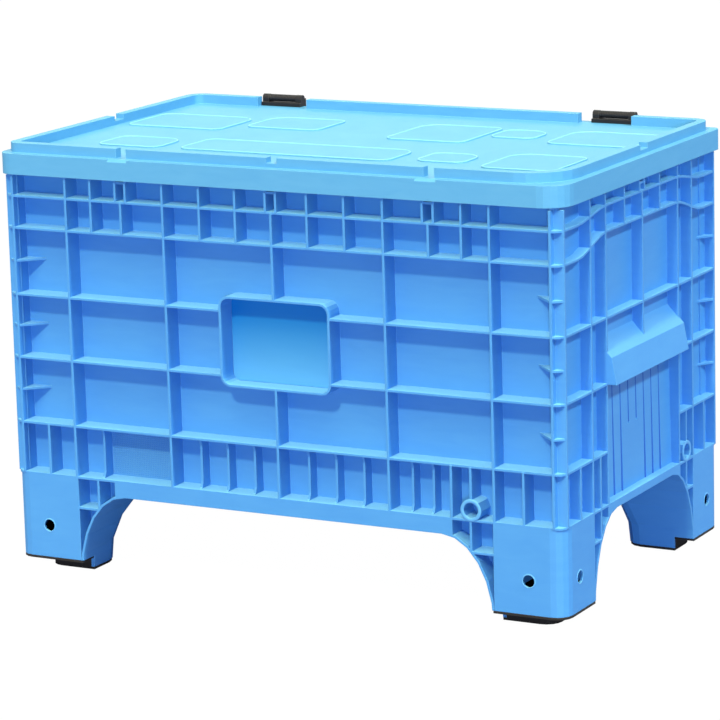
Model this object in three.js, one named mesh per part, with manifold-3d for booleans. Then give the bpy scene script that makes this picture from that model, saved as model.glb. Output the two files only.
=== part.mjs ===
// Plastic pallet box with a hinged lid.
// Millimetres, +Z up, -Y is the front long side, +X the right-hand end.
import * as THREE from 'three';
import { mergeVertices } from 'three/addons/utils/BufferGeometryUtils.js';
import Module from 'manifold-3d';

const wasm = await Module();
wasm.setup();

// Driving dimensions of the box
const boxLength = 1040;
const boxWidth = 640;
const wall = 4;
const rib = 4;
const sideRibDepth = 36;
const endRibDepth = 20;
const boxCorner = 20;
const floorUnderside = 160;
const floorThickness = 6;

// Rows between the six flanges that run round the box, from the lowest row up
const skirtRise = 11.3;
const row5 = 88.7;
const row4 = 113.2;
const row3 = 109.3;
const row2 = 114.7;
const row1 = 54.8;
const rimRise = 68.7;
const flange1Rise = 15;
const flange2Rise = 27;
const waveOuter = 255;
const waveInner = 140;

// Upright ribs, from the middle of their side or, where it says so, from the box's end or a leg
const cornerRibFromWall = 0.7;
const cornerRibFromSide = 14.7;
const legRibPlay = 4.3;
const middleRibX = 205.7;
const upperRibFromEnd = 174.2;
const upperRibX = [135.4, 67.1];
const lowRibX = [51.4, 102.8, 154.3];
const lowRightRibX = [243.6, 281.5];
const legRibFromEnd = 72;
const slotX = 287;
const slotWidth = 19.5;
const slotBridgeHeight = 33;
const endRibPlay = 0.7;
const hoodHalf = 147.4;
const upperRibY = 72;
const gussetReach = 40;
const flangeRecess = 0.6;
const setBack = 13;

// Legs and the fork ways between them
const legLength = 129;
const legWidth = 114;
const legCorner = 27;
const legInnerCorner = 30;
const sideArchRun = 91;
const sideArchHeight = 144;
const endArchRun = 91;
const legSkirtBottom = 25;
const legInnerBottom = 4.5;
const legHole = 22;
const legHoleHeight = 81;
const legHoleFromEnd = 65;
const legHoleFromSide = 56;
const legWeb = 3;
const legWebX = 43.5;
const legWebY = 38.5;
const legWebBottom = 70;
const cellJamb = 6;
const cellLength = 71;
const cellRibX = 36;
const cellRibZ = 118;

// Label frame, ring bosses and the hand-grip hoods
const labelHalf = 104;
const labelBelow = 18.2;
const labelAbove = 25.5;
const labelCorner = 18;
const bossOuter = 37;
const bossInner = 27;
const bossRise = 16.7;
const bossFromLeg = 37;
const bossFromEndLeg = 29;
const hoodRise = 76.8;
const hoodReach = 17;
const hoodLip = 45;
const fluteFirst = -90;
const flutePitch = 31.7;
const fluteCount = 7;
const fluteWidth = 8;
const fluteDepth = 2.4;
const panelLean = 4;

// Lid
const lidOverhang = 5.9;
const lidSideOverhang = 4.8;
const lidSkirtDrop = 31.3;
const lidWallRise = 16.6;
const lidWallFromEnd = 12.2;
const lidWallFromSide = 14;
const lidPlate = 4;
const lidSkirt = 4;
const lidWallWidth = 16;
const padHeight = 2;
const padCorner = 18;
const padCutCorner = 34;
const notchWidth = 19;
const shallowNotch = 9;
const endNotchY = 23;
const endNotchWidth = 30;
const hingeGap = 20;

// Hinges
const hingeFromEnd = 190;
const hingeLength = 80;
const hingeEar = 12;
const hingeDrop = 3.4;
const hingeSetBack = 11.2;
const knuckleRadius = 8;
const pinRadius = 3;
const barRadius = 6;
const hingeRise = 21;

// Corner radii in the order front left, front right, rear right, rear left
const lidCorners = [26, 45, 16, 16];
const lidWallCorners = [20, 78, 30, 30];

// Pads on the lid: left, right, front and rear edge as shares of the lid's half length
// and half width, then which rear corner is cut back, -1 for the left one
const padPlan = [
  [-0.913, -0.551, 0.043, 0.477, 1],
  [-0.504, -0.230, 0.188, 0.554, -1],
  [0.059, 0.344, 0.062, 0.585, -1],
  [0.367, 0.527, 0.292, 0.545, 1],
  [0.597, 0.901, 0.188, 0.616, -1],
  [-0.780, -0.548, -0.600, -0.302, 1],
  [-0.475, 0.285, -0.591, -0.246, 1],
  [0.359, 0.527, -0.533, -0.271, 1],
  [0.607, 0.863, -0.622, -0.169, -1],
];

// Shared clearances
const gap = 0.3;
const rimClearance = 2.2;

// Worked out from the driving dimensions
const halfX = boxLength / 2;
const halfY = boxWidth / 2;
const wallX = halfX - endRibDepth;
const wallY = halfY - sideRibDepth;
const floorTop = floorUnderside + floorThickness;
const legX = halfX - legLength;
const legY = halfY - legWidth;
const flange6 = floorUnderside + skirtRise;
const flange5 = flange6 + row5;
const flange4 = flange5 + row4;
const flange3 = flange4 + row3;
const flange2 = flange3 + row2;
const flange1 = flange2 + row1;
const rimTop = flange1 + rimRise;
const cornerRibX = wallX + cornerRibFromWall;
const cornerRibY = halfY - cornerRibFromSide;
const mainRibX = [legX + legRibPlay, middleRibX];
const endRibY = legY + endRibPlay;
const labelBottom = flange4 - labelBelow;
const labelTop = flange3 + labelAbove;
const bossX = legX - bossFromLeg;
const bossY = legY - bossFromEndLeg;
const bossHeight = flange6 + bossRise;
const hoodTop = flange4 + hoodRise;
const lidX = halfX + lidOverhang;
const lidY = halfY + lidSideOverhang;
const lidTop = rimTop + gap + lidPlate;
const lidBottom = rimTop - lidSkirtDrop;
const lidWallTop = lidTop + lidWallRise;
const lidWallX = lidX - lidWallFromEnd;
const lidWallY = lidY - lidWallFromSide;
const rimX = lidX - lidSkirt - rimClearance;
const rimY = lidY - lidSkirt - rimClearance;
const hingeX = halfX - hingeFromEnd;
const hingeTop = lidTop + hingeRise;
const pinY = lidY + hingeSetBack;
const pinZ = lidBottom - hingeDrop;
const rearmost = pinY + knuckleRadius;

// Solid helpers: every helper returns a closed manifold solid
function toSolid(geometry) {
  geometry.deleteAttribute('normal');
  geometry.deleteAttribute('uv');
  const merged = mergeVertices(geometry, 1e-4);
  const mesh = new wasm.Mesh({
    numProp: 3,
    vertProperties: new Float32Array(merged.attributes.position.array),
    triVerts: new Uint32Array(merged.index.array),
  });
  return new wasm.Manifold(mesh);
}

function extrude(shape, depth, arcSteps = 3) {
  return new THREE.ExtrudeGeometry(shape, { depth, bevelEnabled: false, curveSegments: arcSteps });
}

// The shape lies in X and Y and runs up from z0 to z1
function prismZ(shape, z0, z1, arcSteps) {
  return toSolid(extrude(shape, z1 - z0, arcSteps).translate(0, 0, z0));
}

// The shape lies in Y and Z and runs along X
function prismX(shape, xa, xb, arcSteps) {
  const turn = new THREE.Matrix4().makeBasis(
    new THREE.Vector3(0, 1, 0), new THREE.Vector3(0, 0, 1), new THREE.Vector3(1, 0, 0));
  const geometry = extrude(shape, Math.abs(xb - xa), arcSteps).applyMatrix4(turn);
  return toSolid(geometry.translate(Math.min(xa, xb), 0, 0));
}

// The shape lies in X and Z and runs along Y
function prismY(shape, ya, yb, arcSteps) {
  const geometry = extrude(shape, Math.abs(yb - ya), arcSteps).rotateX(Math.PI / 2);
  return toSolid(geometry.translate(0, Math.max(ya, yb), 0));
}

function box(xa, xb, ya, yb, z0, z1) {
  const geometry = new THREE.BoxGeometry(Math.abs(xb - xa), Math.abs(yb - ya), z1 - z0);
  return toSolid(geometry.translate((xa + xb) / 2, (ya + yb) / 2, (z0 + z1) / 2));
}

function union(solids) {
  let row = solids;
  while (row.length > 1) {
    const next = [];
    for (let i = 0; i < row.length; i += 2) {
      next.push(i + 1 < row.length ? row[i].add(row[i + 1]) : row[i]);
    }
    row = next;
  }
  return row[0];
}

function polygon(points) {
  return new THREE.Shape(points.map(([a, b]) => new THREE.Vector2(a, b)));
}

// A rectangle whose corner radii run front left, front right, rear right, rear left
function roundedRect(x0, x1, y0, y1, radii) {
  const [frontLeft, frontRight, rearRight, rearLeft] = radii;
  const shape = new THREE.Shape();
  shape.moveTo(x0 + frontLeft, y0);
  shape.lineTo(x1 - frontRight, y0);
  shape.absarc(x1 - frontRight, y0 + frontRight, frontRight, -Math.PI / 2, 0);
  shape.lineTo(x1, y1 - rearRight);
  shape.absarc(x1 - rearRight, y1 - rearRight, rearRight, 0, Math.PI / 2);
  shape.lineTo(x0 + rearLeft, y1);
  shape.absarc(x0 + rearLeft, y1 - rearLeft, rearLeft, Math.PI / 2, Math.PI);
  shape.lineTo(x0, y0 + frontLeft);
  shape.absarc(x0 + frontLeft, y0 + frontLeft, frontLeft, Math.PI, 1.5 * Math.PI);
  return shape;
}

function allCorners(radius) {
  return [radius, radius, radius, radius];
}

function inner(radii, inset) {
  return radii.map((radius) => Math.max(radius - inset, 2));
}

function roundedPlan(hx, hy, radii) {
  return roundedRect(-hx, hx, -hy, hy, radii);
}

function circle(a, b, radius) {
  const shape = new THREE.Shape();
  shape.absarc(a, b, radius, 0, 2 * Math.PI);
  return shape;
}

// Outline of the box's rim, which fits inside the lid's skirt
function rimPlan() {
  return roundedPlan(rimX, rimY, inner(lidCorners, lidSkirt + rimClearance));
}

// Outline of a fork way: straight jambs, a quarter ellipse each side and a flat top
function forkWay(halfWidth, run, height, shrink) {
  const points = [];
  const steps = 6;
  for (let i = 0; i <= steps; i += 1) {
    const angle = (i / steps) * Math.PI / 2;
    const a = halfWidth - run + (run + shrink) * Math.cos(angle);
    points.push([a, (height + shrink) * Math.sin(angle)]);
  }
  const mirrored = points.map(([a, b]) => [-a, b]).reverse();
  return polygon([[halfWidth + shrink, -5], ...points, ...mirrored, [-halfWidth - shrink, -5]]);
}

// Height of a flange on the end faces, where two of them swing up over the hand grip
function wave(level, rise, y) {
  const t = THREE.MathUtils.clamp((waveOuter - Math.abs(y)) / (waveOuter - waveInner), 0, 1);
  return level + rise * t * t * (3 - 2 * t);
}

function waveFlange(side, level, rise) {
  const top = [];
  const bottom = [];
  const steps = 5;
  const ys = [];
  for (let i = 0; i <= steps; i += 1) {
    ys.push(-waveOuter - 2 + (i / steps) * (waveOuter + 2 - waveInner));
  }
  for (const y of [...ys, ...ys.map((value) => -value).reverse()]) {
    top.push([y, wave(level, rise, y) + rib / 2]);
    bottom.push([y, wave(level, rise, y) - rib / 2]);
  }
  return prismX(polygon([...top, ...bottom.reverse()]), side * (wallX - 2), side * (halfX - flangeRecess));
}

function flangePlan() {
  return roundedPlan(halfX - flangeRecess, halfY - flangeRecess, allCorners(boxCorner));
}

// A flat flange round the whole box
function flange(level, plan = flangePlan()) {
  plan.holes.push(roundedPlan(wallX - 2, wallY - 2, allCorners(wall)));
  return prismZ(plan, level - rib / 2, level + rib / 2, 2);
}

// Upright rib on a long side, turn is -1 for the front and 1 for the back
function sideRib(turn, x, z0, z1) {
  const at = -turn * x;
  return box(at - rib / 2, at + rib / 2, turn * (wallY - 2), turn * halfY, z0, z1);
}

// The same rib set back from the outer face, curving out to the flanges at both ends
function setBackRib(turn, x, z0, z1) {
  const at = -turn * x;
  const points = [[wallY - 2, z0], [halfY, z0]];
  const steps = 2;
  for (let i = 1; i <= steps; i += 1) {
    const angle = (i / steps) * Math.PI / 2;
    points.push([halfY - setBack * Math.sin(angle), z0 + setBack * (1 - Math.cos(angle))]);
  }
  for (let i = steps; i >= 0; i -= 1) {
    const angle = (i / steps) * Math.PI / 2;
    points.push([halfY - setBack * Math.sin(angle), z1 - setBack * (1 - Math.cos(angle))]);
  }
  points.push([wallY - 2, z1]);
  const outline = points.map(([y, z]) => [turn * y, z]);
  return prismX(polygon(outline), at - rib / 2, at + rib / 2);
}

// Upright rib on an end face, side is 1 for the right end and -1 for the left
function endRib(side, y, z0, z1) {
  const at = side * y;
  return box(side * (wallX - 2), side * halfX, at - rib / 2, at + rib / 2, z0, z1);
}

// The rib grid of one long side; only the front carries the label frame
function longSide(turn) {
  const pieces = [];
  const both = (list) => list.flatMap((x) => [x, -x]);
  const slots = [0, slotX, -slotX].flatMap((x) => [x - slotWidth / 2, x + slotWidth / 2]);
  const top = rimTop - rib / 2;
  const highRibs = [halfX - upperRibFromEnd, ...upperRibX];
  for (const x of [...both([cornerRibX, ...mainRibX, ...highRibs]), ...slots]) {
    pieces.push(sideRib(turn, x, flange1, top));
  }
  for (const x of [0, slotX, -slotX]) {
    const z = flange1 + slotBridgeHeight;
    const at = -turn * x;
    pieces.push(box(at - slotWidth / 2, at + slotWidth / 2,
      turn * (wallY - 2), turn * (rimY - 1), z - rib / 2, z + rib / 2));
  }
  for (const x of both([...mainRibX, ...highRibs, slotX])) {
    pieces.push(sideRib(turn, x, flange2, flange1));
  }
  pieces.push(sideRib(turn, 0, flange2, flange1));
  for (const x of both(mainRibX)) {
    pieces.push(sideRib(turn, x, flange6, flange2));
  }
  for (const x of both([cornerRibX])) {
    pieces.push(sideRib(turn, x, flange6, flange1));
  }
  if (turn < 0) {
    pieces.push(sideRib(turn, 0, labelTop - wall / 2, flange2));
    pieces.push(sideRib(turn, 0, flange6, labelBottom + wall / 2));
  } else {
    pieces.push(sideRib(turn, 0, flange6, flange2));
  }
  for (const x of [halfX - legRibFromEnd, legRibFromEnd - halfX, legX - cellLength - 1]) {
    pieces.push(sideRib(turn, x, flange6, flange5));
  }
  pieces.push(sideRib(turn, bossX, bossHeight + bossInner / 2 + 2, flange5));
  for (const x of [upperRibFromEnd - halfX, ...both(lowRibX), ...lowRightRibX]) {
    pieces.push(setBackRib(turn, x, flange6, flange5));
  }
  const ring = circle(-turn * bossX, bossHeight, bossOuter / 2);
  ring.holes.push(circle(-turn * bossX, bossHeight, bossInner / 2));
  pieces.push(prismY(ring, turn * (wallY - 2), turn * halfY, 4));
  return pieces;
}

// A little horizontal gusset at each box corner, between two flanges
function cornerGusset(side, turn, z) {
  const outline = polygon([
    [side * (cornerRibX - gussetReach), turn * (wallY - 1)],
    [side * cornerRibX, turn * (halfY - flangeRecess)],
    [side * (halfX - flangeRecess), turn * cornerRibY], [side * (wallX - 1), turn * (wallY - 12)],
    [side * (wallX - 3), turn * (wallY - 3)],
  ]);
  return prismZ(outline, z - rib / 2, z + rib / 2);
}

// The rib grid of one end face with its hand-grip hood and fluted panel
function endFace(side) {
  const pieces = [];
  const both = (list) => list.flatMap((y) => [y, -y]);
  const top = rimTop - rib / 2;
  for (const y of both([cornerRibY, endRibY, hoodHalf, upperRibY, slotWidth / 2])) {
    pieces.push(endRib(side, y, wave(flange1, flange1Rise, y), top));
  }
  const bridge = flange1 + flange1Rise + slotBridgeHeight / 2;
  pieces.push(box(side * (wallX - 2), side * (rimX - 1),
    -slotWidth / 2, slotWidth / 2, bridge - rib, bridge));
  for (const y of [...both([cornerRibY, endRibY, hoodHalf, upperRibY]), 0]) {
    pieces.push(endRib(side, y, wave(flange2, flange2Rise, y), wave(flange1, flange1Rise, y)));
  }
  for (const y of [...both([cornerRibY, endRibY, hoodHalf]), 0]) {
    pieces.push(endRib(side, y, flange3, wave(flange2, flange2Rise, y)));
  }
  for (const y of both([cornerRibY, endRibY, hoodHalf])) {
    pieces.push(endRib(side, y, flange6, flange3));
  }
  for (const y of both([hoodHalf])) {
    pieces.push(endRib(side, y, floorUnderside, flange6));
  }
  for (const y of [-waveOuter, waveOuter, -bossY]) {
    pieces.push(endRib(side, y, flange6, flange5));
  }
  pieces.push(endRib(side, bossY, bossHeight + bossInner / 2 + 2, flange5));
  const ring = circle(side * bossY, bossHeight, bossOuter / 2);
  ring.holes.push(circle(side * bossY, bossHeight, bossInner / 2));
  pieces.push(prismX(ring, side * (wallX - 2), side * halfX, 4));
  pieces.push(waveFlange(side, flange1, flange1Rise));
  pieces.push(waveFlange(side, flange2, flange2Rise));
  return [...pieces, ...handGrip(side)];
}

// Hood that bends out of the wall and stays open below for the fingers
function handGrip(side) {
  const lip = halfX + hoodReach;
  const knee = halfX + hoodReach / 2;
  const kneeZ = flange4 + hoodLip;
  const mirror = (points) => polygon(points.map(([x, z]) => [side * x, z]));
  const shell = mirror([
    [wallX - 1, hoodTop], [halfX, hoodTop - 23], [knee, kneeZ], [lip, flange4],
    [lip - wall, flange4], [knee - wall, kneeZ - 2], [halfX - 3, hoodTop - 27], [wallX - 3, hoodTop - 7],
  ]);
  const cheek = mirror([
    [wallX - 2, hoodTop], [wallX, hoodTop], [halfX, hoodTop - 23], [knee, kneeZ],
    [lip, flange4], [wallX - 2, flange4],
  ]);
  const stub = mirror([
    [wallX - 2, hoodTop - 3], [halfX, hoodTop - 25], [halfX, flange3], [wallX - 2, flange3],
  ]);
  const pieces = [prismY(shell, -hoodHalf, hoodHalf), prismY(stub, -rib / 2, rib / 2)];
  for (const y of [-hoodHalf, hoodHalf]) {
    pieces.push(prismY(cheek, y - rib / 2, y + rib / 2));
  }
  const panel = mirror([
    [wallX - 2, flange4], [wallX + 1, flange4], [wallX + 1 + panelLean, floorUnderside],
    [wallX - 2, floorUnderside],
  ]);
  let wedge = prismY(panel, -hoodHalf, hoodHalf);
  for (let i = 0; i < fluteCount; i += 1) {
    const at = side * (fluteFirst + i * flutePitch);
    const low = i === 2 || i === 3 ? flange5 + 20 : floorUnderside - 1;
    const deep = side * (wallX + 1 - fluteDepth + 1);
    const groove = polygon([
      [deep, at], [side * (wallX + 8), at - fluteWidth], [side * (wallX + 8), at + fluteWidth],
    ]);
    wedge = wedge.subtract(prismZ(groove, low, flange4 + 1));
  }
  pieces.push(wedge);
  return pieces;
}

// Rounded frame for a label on the front
function labelFrame() {
  const outer = roundedRect(-labelHalf, labelHalf, labelBottom, labelTop, allCorners(labelCorner));
  outer.holes.push(labelOpening());
  return prismY(outer, -halfY, -wallY + 2, 2);
}

function labelOpening() {
  return roundedRect(-labelHalf + wall, labelHalf - wall, labelBottom + wall, labelTop - wall,
    allCorners(labelCorner - wall));
}

// Legs, skirts and the underside: one block, the two fork ways taken out of it
function undercarriage() {
  const sideWay = forkWay(legX, sideArchRun, sideArchHeight, 0);
  const endWay = forkWay(legY, endArchRun, floorUnderside, 0);
  const cutSide = prismY(sideWay, -halfY - 5, halfY + 5);
  const cutEnd = prismX(endWay, -halfX - 5, halfX + 5);
  const thickSide = prismY(forkWay(legX, sideArchRun, sideArchHeight, wall), -halfY - 9, halfY + 9);
  const thickEnd = prismX(forkWay(legY, endArchRun, floorUnderside, wall), -halfX - 9, halfX + 9);
  const plan = roundedPlan(halfX, halfY, allCorners(legCorner));
  const block = prismZ(plan, 0, flange6 + rib / 2, 2);
  const corners = [[-1, -1], [1, -1], [-1, 1], [1, 1]];
  let solid = block.subtract(cutSide).subtract(cutEnd)
    .subtract(union(corners.map(([hand, turn]) => archCorner(hand, turn, 0))));

  // Cells in the skirts beside the legs, each with one upright and one cross rib
  const cellTop = flange6 - rib / 2;
  const cuts = [];
  const ribs = [];
  for (const turn of [-1, 1]) {
    for (const hand of [-1, 1]) {
      const cell = box(hand * (legX - cellLength), hand * (legX + 2),
        turn * wallY, turn * (halfY + 5), legSkirtBottom, cellTop);
      cuts.push(cell.subtract(thickSide));
      ribs.push(box(hand * (legX - cellRibX - rib), hand * (legX - cellRibX),
        turn * (wallY - 1), turn * halfY, legSkirtBottom, cellTop + 1));
      ribs.push(box(hand * (legX - cellLength - 2), hand * (legX + 3),
        turn * (wallY - 1), turn * halfY, cellRibZ - rib / 2, cellRibZ + rib / 2));
      const endCell = box(hand * wallX, hand * (halfX + 5),
        turn * (hoodHalf + 2), turn * (legY - 1), legSkirtBottom, cellTop);
      cuts.push(endCell.subtract(thickEnd));
      ribs.push(box(hand * (wallX - 1), hand * halfX, turn * (bossY - rib / 2), turn * (bossY + rib / 2),
        legSkirtBottom, cellTop + 1));
      ribs.push(box(hand * (wallX - 1), hand * halfX, turn * hoodHalf, turn * legY,
        cellRibZ, cellRibZ + rib));
    }
  }
  const keptRibs = union(ribs).intersect(solid);
  solid = solid.subtract(union(cuts)).add(keptRibs);

  // Hollow legs, open below where the foot shoe plugs in
  const hollows = [];
  for (const turn of [-1, 1]) {
    for (const hand of [-1, 1]) {
      const outer = prismZ(legPlan(hand, turn, legX - 60, legY - 60, wall), -1, floorUnderside);
      let hollow = outer.subtract(thickSide).subtract(thickEnd).subtract(archCorner(hand, turn, wall));
      const endX = legX - sideArchRun;
      const endY = legY - endArchRun;
      const webX = legX + legWebX;
      const webY = legY + legWebY;
      const jamb = legX + cellJamb;
      hollow = hollow
        .subtract(box(hand * endX, hand * jamb, turn * (wallY - wall), turn * halfY, -5, floorTop))
        .subtract(box(hand * (wallX - wall), hand * halfX,
          turn * endY, turn * (legY + legWeb), -5, floorTop))
        .subtract(box(hand * webX, hand * (webX + legWeb),
          turn * endY, turn * halfY, legWebBottom, floorTop))
        .subtract(box(hand * endX, hand * halfX,
          turn * webY, turn * (webY + legWeb), legWebBottom, floorTop));
      hollows.push(hollow);
      hollows.push(...legCuts(hand, turn));
    }
  }
  hollows.push(...undersidePockets());
  return solid.subtract(union(hollows));
}

// Where the side arch has reached at a height above the ground, measured from the box's middle
function archReach(half, run, height, z) {
  const climbed = Math.min(z / height, 1);
  return half - run * (1 - Math.sqrt(1 - climbed * climbed));
}

// What rounds a leg's inner edge, where the two fork ways meet; it narrows to nothing at the top
function archCorner(hand, turn, inset) {
  const points = [];
  const faces = [];
  const heights = [-9, 40, 80, 110, 130];
  const steps = 3;
  const ringSize = steps + 4;
  heights.forEach((z, level) => {
    const level0 = Math.max(z, 0);
    const x0 = archReach(legX, sideArchRun, sideArchHeight, level0) + inset;
    const y0 = archReach(legY, endArchRun, floorUnderside, level0) + inset;
    const share = 1 - Math.pow(level0 / sideArchHeight, 3);
    const radius = (legInnerCorner - inset) * share;
    const ring = [[x0 - 3, y0 - 3], [x0 + radius, y0 - 3]];
    for (let i = 0; i <= steps; i += 1) {
      const angle = (i / steps) * Math.PI / 2;
      ring.push([x0 + radius - radius * Math.sin(angle), y0 + radius - radius * Math.cos(angle)]);
    }
    ring.push([x0 - 3, y0 + radius]);
    for (const [x, y] of ring) {
      points.push(hand * x, turn * y, z);
    }
    for (let i = 0; level > 0 && i < ringSize; i += 1) {
      const next = (i + 1) % ringSize;
      const low = (level - 1) * ringSize;
      const high = level * ringSize;
      faces.push([low + i, low + next, high + next], [low + i, high + next, high + i]);
    }
  });
  const last = (heights.length - 1) * ringSize;
  for (let i = 1; i < ringSize - 1; i += 1) {
    faces.push([0, i + 1, i], [last, last + i, last + i + 1]);
  }
  const mirrored = hand * turn < 0;
  const geometry = new THREE.BufferGeometry();
  geometry.setAttribute('position', new THREE.Float32BufferAttribute(points, 3));
  geometry.setIndex(faces.flatMap(([a, b, c]) => (mirrored ? [a, c, b] : [a, b, c])));
  return toSolid(geometry);
}

// Plan of one leg from its inner corner out to the box corner, shrunk by an inset
function legPlan(hand, turn, fromX, fromY, inset, innerCorner = 0) {
  const radius = legCorner - inset;
  return cornerPlan(hand, turn, fromX, fromY, halfX - inset, halfY - inset, radius, innerCorner);
}

// Rectangle between an inner and an outer corner, with the outer one and maybe the inner one rounded
function cornerPlan(hand, turn, fromX, fromY, outX, outY, radius, innerCorner) {
  const shape = new THREE.Shape();
  const points = [];
  if (innerCorner > 0) {
    for (let i = 0; i <= 3; i += 1) {
      const angle = (i / 3) * Math.PI / 2;
      points.push([
        fromX + innerCorner * (1 - Math.cos(angle)), fromY + innerCorner * (1 - Math.sin(angle))]);
    }
  } else {
    points.push([fromX, fromY]);
  }
  points.push([outX, fromY]);
  const steps = 4;
  for (let i = 0; i <= steps; i += 1) {
    const angle = (i / steps) * Math.PI / 2;
    points.push([outX - radius + radius * Math.cos(angle), outY - radius + radius * Math.sin(angle)]);
  }
  points.push([fromX, outY]);
  shape.setFromPoints(points.map(([x, y]) => new THREE.Vector2(hand * x, turn * y)));
  return shape;
}

// The stepped lower edge of a leg and its two round holes
function legCuts(hand, turn) {
  const holeX = hand * (halfX - legHoleFromEnd);
  const holeY = turn * (halfY - legHoleFromSide);
  return [
    box(hand * (legX - 50), hand * (halfX + 5), turn * (legY - 50), turn * (halfY + 5), -5, legInnerBottom),
    box(hand * (halfX - sideRibDepth), hand * (halfX + 5),
      turn * (legY - 5), turn * (halfY + 5), 0, legSkirtBottom),
    box(hand * (legX - 5), hand * (halfX + 5), turn * wallY, turn * (halfY + 5), 0, legSkirtBottom),
    prismY(circle(holeX, legHoleHeight, legHole / 2), turn * (halfY - wall - 1), turn * (halfY + 5), 4),
    prismX(circle(holeY, legHoleHeight, legHole / 2), hand * (halfX - wall - 1), hand * (halfX + 5), 4),
  ];
}

// Pockets in the thick side beams under the floor, leaving cross ribs
function undersidePockets() {
  const cells = [];
  const count = 4;
  const span = 2 * (legX - sideArchRun) - rib;
  const pitch = span / count;
  for (const turn of [-1, 1]) {
    for (let i = 0; i < count; i += 1) {
      const x0 = -span / 2 + i * pitch + rib / 2;
      cells.push(box(x0, x0 + pitch - rib, turn * (legY - 40), turn * (halfY - wall),
        sideArchHeight - 1, floorUnderside));
    }
  }
  return cells;
}

function buildBody() {
  const shell = [
    box(-wallX, wallX, -wallY, wallY, floorUnderside, rimTop),
    undercarriage(),
    flange(flange3),
    ...longSide(-1), ...longSide(1),
    ...endFace(-1), ...endFace(1),
    labelFrame(),
    flange(rimTop - rib / 2, rimPlan()),
    prismZ(flangePlan(), flange6 - rib / 2, flange6 + rib / 2, 2)
      .subtract(box(-wallX + 2, wallX - 2, -wallY + 2, wallY - 2, 0, 300)),
  ];
  for (const level of [flange1, flange2]) {
    const middle = box(-halfX - 5, halfX + 5, -waveOuter, waveOuter, level - 5, level + 5);
    shell.push(flange(level).subtract(middle));
  }
  for (const level of [flange4, flange5]) {
    const middle = box(-halfX - 5, halfX + 5, -hoodHalf, hoodHalf, level - 5, level + 5);
    shell.push(flange(level).subtract(middle));
  }
  for (const turn of [-1, 1]) {
    for (const side of [-1, 1]) {
      for (const z of [(flange2 + flange3) / 2, (flange3 + flange4) / 2, (flange4 + flange5) / 2]) {
        shell.push(cornerGusset(side, turn, z));
      }
    }
  }
  const inside = box(-wallX + wall, wallX - wall, -wallY + wall, wallY - wall, floorTop, rimTop + 5);
  const labelPocket = prismY(labelOpening(), -halfY - 5, -wallY, 2);
  const aboveSkirt = prismZ(rimPlan(), lidBottom - 4, rimTop + 5, 2);
  const belowSkirt = box(-halfX - 50, halfX + 50, -halfY - 50, halfY + 50, -5, lidBottom - 4);
  return union(shell).subtract(inside).subtract(labelPocket).intersect(aboveSkirt.add(belowSkirt));
}

// Lid moulding: plate, skirt, raised wall that is hollow below, notches and shallow pads
function buildLid() {
  const skirt = prismZ(roundedPlan(lidX, lidY, lidCorners), lidBottom, lidTop);
  const skirtInside = prismZ(
    roundedPlan(lidX - lidSkirt, lidY - lidSkirt, inner(lidCorners, lidSkirt)),
    lidBottom - 5, lidTop - lidPlate);
  const raised = prismZ(wallRing(0, lidWallWidth), lidTop - 1, lidWallTop);
  const hollow = prismZ(wallRing(wall, lidWallWidth - wall), lidTop - lidPlate - 1, lidWallTop - wall)
    .subtract(wallCuts(wall));
  let lid = skirt.subtract(skirtInside).add(raised).subtract(wallCuts(0)).subtract(hollow);
  for (const x of [-slotX, slotX]) {
    const spout = polygon([[-lidY - 1, lidTop - 5], [-lidY + 6, lidTop + 1], [-lidY - 1, lidTop + 1]]);
    lid = lid.subtract(prismX(spout, x - notchWidth, x + notchWidth));
  }
  return lid.add(union(padPlan.map(pad)));
}

// Ring between two insets from the outside of the raised wall
function wallRing(outset, inset) {
  const plan = roundedPlan(lidWallX - outset, lidWallY - outset, inner(lidWallCorners, outset));
  plan.holes.push(roundedPlan(lidWallX - inset, lidWallY - inset, inner(lidWallCorners, inset)));
  return plan;
}

// Everything cut out of the raised wall, grown sideways and down by a margin
function wallCuts(margin) {
  const front = -lidWallY - 1;
  const depth = lidWallWidth + 2;
  const top = lidWallTop + 1;
  const half = notchWidth / 2 + margin;
  const cuts = [];
  for (const x of [-slotX, slotX]) {
    cuts.push(box(x - half, x + half, front, front + depth, lidTop - margin, top));
  }
  cuts.push(box(-half, half, front, front + depth, lidWallTop - shallowNotch - margin, top));
  const endHalf = endNotchWidth / 2 + margin;
  for (const side of [-1, 1]) {
    cuts.push(box(side * (lidWallX + 1), side * (lidWallX + 1 - depth), endNotchY - endHalf,
      endNotchY + endHalf, lidWallTop - shallowNotch - margin, top));
    cuts.push(box(side * (hingeX - hingeLength / 2 - hingeGap - margin),
      side * (hingeX + hingeLength / 2 + 1 + margin), -front - depth, -front, lidTop - margin, top));
  }
  return union(cuts);
}

// A low pad on the lid with one rear corner cut back
function pad([left, right, front, rear, cut]) {
  const rearRight = cut > 0 ? padCutCorner : padCorner;
  const rearLeft = cut < 0 ? padCutCorner : padCorner;
  const outline = roundedRect(left * lidX, right * lidX, front * lidY, rear * lidY,
    [padCorner, padCorner, rearRight, rearLeft]);
  return prismZ(outline, lidTop - 1, lidTop + padHeight, 2);
}

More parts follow.
